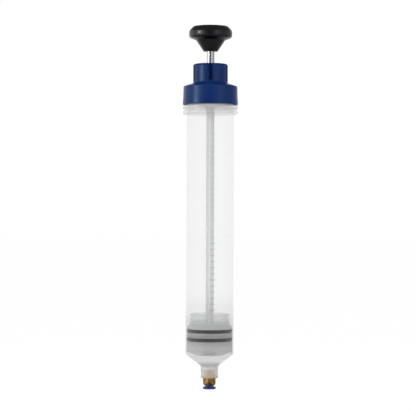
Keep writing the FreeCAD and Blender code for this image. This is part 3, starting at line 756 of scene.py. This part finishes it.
# %% Barrel's milky share and colour
def milky_share(finish, z, cloud):
    """How much of each surface is milk: a thin film, more at the thick places and the edges, and
    painted shade and light round the piston and at the collar.
    """
    x, y = finish.along("X"), finish.along("Y")
    neck = finish.step(z, *BRASS_END, 0.38, 0.54) * finish.step(z, *NECK_END, 1.0, 0.0)
    cone = finish.step(z, *CONE_END, 0.14, 0.0)
    # Painted shade: a faint grey band of milk just above the piston, for its blurred image.
    painted_shade = finish.step(z, *PAINTED_SHADE_START) * finish.step(z, *PAINTED_SHADE_END, 0.05, 0.0)
    # More milk at the thick collar and at its top, partly painted light against the cap's shade.
    collar = finish.step(z, *COLLAR_MIDDLE, 0.0, 0.12) + finish.step(z, *COLLAR_END, 0.0, 0.15)
    flange = finish.step(x * x + y * y, *FLANGE, 0.0, 0.16)
    # Painted light: more milk at the wall's sides beside the piston and its rings, for light bent
    # through the wall.
    painted_side_light = finish.step(z, *PAINTED_SIDE_LIGHT_START) * finish.step(z, *PAINTED_SIDE_LIGHT_END) * 0.25
    edge = finish.node("LayerWeight", {}, {"Blend": 0.5}, output="Facing")
    film = 0.050 + neck + cone + painted_shade + collar + flange + 0.015 * cloud
    return film + 0.07 * edge**4.0 + painted_side_light * edge * edge


def milk_colour(finish, z):
    """Greyer along the wall, paler in the cone, warm round the brass, and paler at the collar as
    painted light against the cap's shade.
    """
    cone = finish.blend(finish.step(z, *CONE_START), colour(186, 184, 187), colour(208, 208, 210))
    milk = finish.blend(finish.step(z, *CONE_MIDDLE), cone, colour(180, 181, 182))
    milk = finish.blend(finish.step(z, *BRASS_END), colour(190, 176, 158), milk)
    # Painted light: the collar's paler milk lifts the shade under the cap.
    return finish.blend(finish.step(z, *COLLAR_PAINTED_LIGHT), milk, colour(200, 200, 200))


# %% Barrel finish
def frosted_plastic():
    finish = Finish("frosted_polypropylene")
    z = finish.along("Z")
    cloud = finish.noise(14.0, 3.0)
    grain = finish.noise(900.0, 2.0)
    return finish.principled(
        Base_Color=milk_colour(finish, z),
        Roughness=0.28 + 0.08 * cloud,
        IOR=2.2,
        Alpha=milky_share(finish, z, cloud),
        Normal=finish.bump(grain, 0.05, 0.0002),
    )


# %% Scale mark finish
def raised_marks():
    """The barrel's own plastic, greyed by handling near the foot and fainter higher up."""
    finish = Finish("rubbed_marks")
    wear = finish.noise(500.0, 3.0)
    upper = finish.step(finish.along("Z"), 0.190, 0.260, 1.0, 0.35)
    return finish.principled(
        Base_Color=finish.blend(wear, colour(112, 112, 114), colour(140, 140, 142)),
        Roughness=0.4 + 0.2 * wear,
        Alpha=(0.33 - 0.2 * wear) * upper,
    )


# %% [markdown]
# ## Moulded colours
# The cap, the knob and the collet are coloured plastic. A new moulding isn't flat in colour: it has
# a faint orange peel and dull patches from handling. Noise at two sizes drives the
# roughness and a very shallow bump.


# %% Cap, knob and collet finishes
def moulded_plastic(name, base, worn, roughness, peel=260.0, specular=0.5, tint=(1, 1, 1)):
    finish = Finish(name)
    patches = finish.noise(22.0, 4.0)
    fine = finish.noise(peel, 2.0)
    return finish.principled(
        Base_Color=finish.blend(finish.step(patches, 0.35, 0.75), base, worn),
        Roughness=finish.step(patches, 0.3, 0.75, roughness - 0.04, roughness + 0.07),
        Specular_IOR_Level=specular,
        Specular_Tint=(*tint, 1),
        Normal=finish.bump(fine, 0.08, 0.0002),
    )


# %% [markdown]
# ## Metals
# Chrome mirrors the room, with faint lines along the way it slides. Inside the barrel a film of the
# pumped fluid dulls it, and a lighter line down its front there is a painted highlight. Brass is
# warmer and was cut on a lathe, so fine rings run round it and its colour darkens in patches.


# %% Chrome, brass and steel finishes
# Heights and distances in metres.
FILM_END = (0.455, 0.500)
# Offset, half width and edge of a painted highlight line down the rod's front.
HIGHLIGHT_LEFT, HIGHLIGHT_HALF, HIGHLIGHT_EDGE = 0.0008, 0.0016, 0.002


def chrome():
    finish = Finish("chrome_plate")
    film = finish.step(finish.along("Z"), *FILM_END, 0.42, 0.0)
    side = finish.along("X") + HIGHLIGHT_LEFT
    front = finish.step(finish.along("Y"), 0.0, -HIGHLIGHT_EDGE)
    # Painted highlight: a lighter line down the rod's front, a little left of its middle, inside the
    # barrel.
    painted_highlight = front * finish.step(side * side, 0.0, HIGHLIGHT_HALF**2, 1.0, 0.0)
    dull = finish.blend(painted_highlight, colour(193, 194, 195), colour(209, 210, 210))
    lines = finish.noise(700.0, 2.0, stretch=(1, 1, 0.01))
    return finish.principled(
        Base_Color=finish.blend(film * 2.3, colour(226, 227, 229), dull),
        Metallic=1.0 - 2.3 * film,
        Roughness=0.055 + 1.2 * film + 0.03 * lines,
    )


def brass_finish():
    finish = Finish("turned_brass")
    tarnish = finish.noise(170.0, 4.0)
    dark = finish.step(tarnish, 0.35, 0.7)
    rings = finish.noise(260.0, 2.0, stretch=(0.05, 0.05, 9.0))
    return finish.principled(
        Base_Color=finish.blend(dark, colour(190, 152, 96), colour(112, 80, 40)),
        Metallic=1.0,
        Roughness=0.38 + 0.2 * tarnish,
        Normal=finish.bump(rings, 0.25, 0.0001),
    )


def plain_metal(name, base, roughness):
    finish = Finish(name)
    grain = finish.noise(600.0, 2.0, stretch=(1, 1, 4))
    return finish.principled(
        Base_Color=(*base, 1),
        Metallic=1.0,
        Roughness=roughness + 0.1 * grain,
        Normal=finish.bump(grain, 0.1, 0.0001),
    )


# %% [markdown]
# ## Rubber and milky plastics
# The rings are matt black rubber. The piston and the bush are unpigmented plastic. The piston's
# colours are painted shade and light: a grey middle for the dim inside of the barrel, and a paler
# nose and skirt, painted lighter where the plastic is thin. The nose and skirt let some light through.


# %% Rubber, piston and bush finishes
def rubber():
    finish = Finish("nitrile_rubber")
    dust = finish.noise(320.0, 4.0)
    return finish.principled(
        Base_Color=finish.blend(finish.step(dust, 0.45, 0.8), colour(8, 8, 9), colour(24, 24, 24)),
        Roughness=0.45 + 0.2 * dust,
        Specular_IOR_Level=0.22,
        Normal=finish.bump(dust, 0.15, 0.0001),
    )


def piston_plastic():
    finish = Finish("piston_polypropylene")
    z = finish.along("Z")
    flow = finish.noise(30.0, 3.0, stretch=(1, 1, 0.4))
    # Painted shade in the piston's grey middle, painted light on its paler skirt and nose.
    skirt_painted_light = finish.step(z, 0.084, 0.112)
    nose_painted_light = finish.step(z, 0.088, 0.060)
    painted_shade_to_light = finish.blend(skirt_painted_light, colour(124, 124, 125), colour(198, 199, 199))
    return finish.principled(
        Base_Color=finish.blend(nose_painted_light, painted_shade_to_light, colour(172, 172, 172)),
        Roughness=0.42 + 0.1 * flow,
        Alpha=finish.step(z, 0.094, 0.115, 0.96, 0.24) * finish.step(z, 0.054, 0.068, 0.40, 1.0),
        Normal=finish.bump(flow, 0.1, 0.0004),
    )


def milky_plastic(name, base):
    finish = Finish(name)
    flow = finish.noise(90.0, 3.0)
    return finish.principled(
        Base_Color=finish.blend(flow, base, tuple(0.85 * c for c in base)),
        Roughness=0.4 + 0.1 * flow,
        Normal=finish.bump(flow, 0.08, 0.0002),
    )


# %% [markdown]
# ## Giving the finishes to the pieces
# New pieces take a whole material. The CAD nodes that stay, all of them small or hidden, get the
# finish of what they are made of.

# %% Assign
FROSTED = frosted_plastic()
MARKS = raised_marks()
BLUE = moulded_plastic(
    "cap_blue", colour(9, 32, 80), colour(13, 37, 87), 0.31, specular=0.39, tint=(0.55, 0.8, 1.0)
)
BLACK = moulded_plastic(
    "knob_black", colour(7, 7, 8), colour(12, 12, 13), 0.28, peel=420.0, specular=0.62
)
COLLET_BLUE = moulded_plastic("collet_blue", colour(26, 40, 92), colour(34, 50, 102), 0.30)
CHROME = chrome()
BRASS = brass_finish()
RUBBER = rubber()
PISTON = piston_plastic()
WHITE = milky_plastic("acetal_white", colour(206, 206, 202))
WASHER = milky_plastic("neck_washer_plastic", colour(160, 142, 120))
PLUG = milky_plastic("plug_plastic", colour(184, 184, 183))
STEEL = plain_metal("zinc_plated_steel", colour(190, 192, 196), 0.3)
SPRING = plain_metal("spring_steel", colour(170, 170, 172), 0.22)


def give(piece, material):
    """The piece's only material."""
    piece.data.materials.clear()
    piece.data.materials.append(material)


for piece, material in [
    (barrel, FROSTED),
    (barrel_thread, FROSTED),
    (ticks, MARKS),
    (cap, BLUE),
    (cap_thread, BLUE),
    (knob, BLACK),
    (rod, CHROME),
    (piston, PISTON),
    (piston_webs, PISTON),
    (brass, BRASS),
    (collet, COLLET_BLUE),
    (neck_washer, WASHER),
    (ring_lower, RUBBER),
    (ring_upper, RUBBER),
]:
    give(piece, material)

for node, material in {
    "cap_gasket": RUBBER,
    "rod_bush": WHITE,
    "rod_wiper": RUBBER,
    "piston_plug": PLUG,
    "rod_washer": STEEL,
    "rod_thrust_washer": WHITE,
    "rod_nut": STEEL,
    "rod_end_stud": STEEL,
    "rod_top_stud": STEEL,
    "knob_insert": BRASS,
    "collet_cartridge": BRASS,
    "grab_ring": SPRING,
    "hose_spacer": WHITE,
    "hose_seal": RUBBER,
}.items():
    give(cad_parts[node], material)
print("finishes:", len(bpy.data.materials))

# %% [markdown]
# ## Studio
# Shiny pieces show the room, so the room is one colour for each direction: dark where the camera
# stands, a wide pale screen on the left, a narrow one on the right, a white sheet behind and a dim
# ceiling. The dark strip in front is what draws the line down the chrome. Soft fill lights that
# mirrors don't see set how bright the matt surfaces are, and one small light that they do see leaves
# a spark on the knob's rim. The floor is white paper with a glow of its own.


# %% Walls of the room
# Place on the ramp is 0.5 towards the camera, 0.25 to the left, 0.75 to the right, 0 and 1 behind.
WALLS = [
    (0.00, 1.00),
    (0.16, 0.85),
    (0.265, 0.75),
    (0.305, 1.30),
    (0.335, 1.90),
    (0.365, 1.25),
    (0.40, 0.60),
    (0.45, 0.10),
    (0.545, 0.10),
    (0.575, 0.95),
    (0.62, 0.85),
    (0.66, 0.35),
    (0.84, 0.42),
    (1.00, 1.00),
]


def grey(level):
    """A linear grey as a colour."""
    return (level, level, level)


# %% Room light
def light_the_room():
    """World colour from direction: a ramp over the angle round the object, dimmed at top and foot."""
    world = bpy.data.worlds.new("studio")
    world.use_nodes = True
    bpy.context.scene.world = world
    room = Nodes(world.node_tree)
    direction = room.node("TexCoord", output="Generated")
    x, y, z = (room.node("SeparateXYZ", inputs={0: direction}, output=axis) for axis in "XYZ")
    turn = room.node("Math", {"operation": "ARCTAN2"}, {0: x, 1: -1 * y})
    stops = [(place, grey(level)) for place, level in WALLS]
    walls = room.node("ValToRGB", {"stops": stops}, {0: 0.5 + turn * (1 / FULL_TURN)})
    lit = room.blend(room.step(z, 0.25, 0.5), walls, grey(0.16))
    lit = room.blend(room.step(z, -0.25, -0.6), lit, grey(0.20))
    seen = room.blend(room.node("LightPath", output="Is Camera Ray"), lit, grey(1.0))
    room.end("World", room.node("Background", {}, {"Color": seen, "Strength": 1.0}))


light_the_room()

# %% Floor
FLOOR_HEIGHT, FLOOR_HALF = -150.0, 30000.0


def flat_sheet(name, half, height):
    """A square sheet, half its side each way, that only the camera sees."""
    corners = [(-half, -half), (half, -half), (half, half), (-half, half)]
    points = [(x * MM, y * MM, height * MM) for x, y in corners]
    mesh = bpy.data.meshes.new(name)
    mesh.from_pydata(points, [], [[0, 1, 2, 3]])
    sheet = bpy.data.objects.new(name, mesh)
    bpy.context.scene.collection.objects.link(sheet)
    sheet.visible_diffuse = False
    sheet.visible_glossy = False
    sheet.visible_shadow = False
    return sheet


def pale_paper():
    finish = Finish("pale_paper")
    fibres = finish.noise(40.0, 3.0)
    return finish.principled(
        Base_Color=finish.blend(fibres, grey(0.01), grey(0.02)),
        Roughness=0.9,
        Specular_IOR_Level=0.0,
        Emission_Color=(1, 1, 1, 1),
        Emission_Strength=0.99,
    )


floor = flat_sheet("floor", FLOOR_HALF, FLOOR_HEIGHT)
give(floor, pale_paper())


# %% Fill lights
def softbox(name, place, aim, size, power, mirrored=False):
    """An area light at a place in metres, facing a point, that mirrors see only if mirrored is true."""
    light = bpy.data.lights.new(name, "AREA")
    light.shape = "RECTANGLE"
    light.size, light.size_y = size
    light.energy = power
    lamp = bpy.data.objects.new(name, light)
    bpy.context.scene.collection.objects.link(lamp)
    lamp.location = place
    lamp.rotation_euler = (Vector(aim) - Vector(place)).to_track_quat("-Z", "Y").to_euler()
    lamp.visible_glossy = mirrored
    return lamp


MIDDLE, FOOT, KNOB_RIM = (0, 0, 0.3), (0, 0, 0.05), (0, 0, 0.58)
softbox("fill_left", (-2.5, -1.1, 0.9), MIDDLE, (1.6, 1.6), 54)
softbox("fill_right", (2.3, -1.5, 0.8), MIDDLE, (1.6, 1.6), 62)
softbox("fill_top", (0.0, -0.4, 2.8), MIDDLE, (1.2, 1.2), 30)
softbox("fill_below", (0.0, -0.9, -1.2), FOOT, (1.2, 1.2), 16)
softbox("fill_behind", (0.0, 2.4, 1.2), MIDDLE, (2.0, 1.2), 30)
softbox("knob_glint", (-1.57, -0.83, 0.80), KNOB_RIM, (0.22, 0.13), 2.6, mirrored=True)

# %% [markdown]
# ## Camera
# The view is level, from the front and from well back, so upright lines stay upright. A long lens
# and a small upward shift put the pump in the middle of a square picture.

# %% Camera
CAMERA_DISTANCE = 2.673
CAMERA_HEIGHT = 0.2842
CAMERA_SIDE = -0.0032
CAMERA_ROLL = math.radians(-0.22)
PICTURE_SIDE = 0.676
PICTURE_MIDDLE = 0.2939
SENSOR = 36.0

camera_data = bpy.data.cameras.new("camera")
camera_data.sensor_width = SENSOR
camera_data.lens = SENSOR * CAMERA_DISTANCE / PICTURE_SIDE
camera_data.shift_y = (PICTURE_MIDDLE - CAMERA_HEIGHT) / PICTURE_SIDE
camera_data.clip_end = 100.0
camera = bpy.data.objects.new("camera", camera_data)
bpy.context.scene.collection.objects.link(camera)
camera.location = (CAMERA_SIDE, -CAMERA_DISTANCE, CAMERA_HEIGHT)
camera.rotation_euler = (math.pi / 2, CAMERA_ROLL, 0)
bpy.context.scene.camera = camera
bpy.context.scene.view_settings.view_transform = "Standard"
print("lens in mm:", round(camera_data.lens, 1))
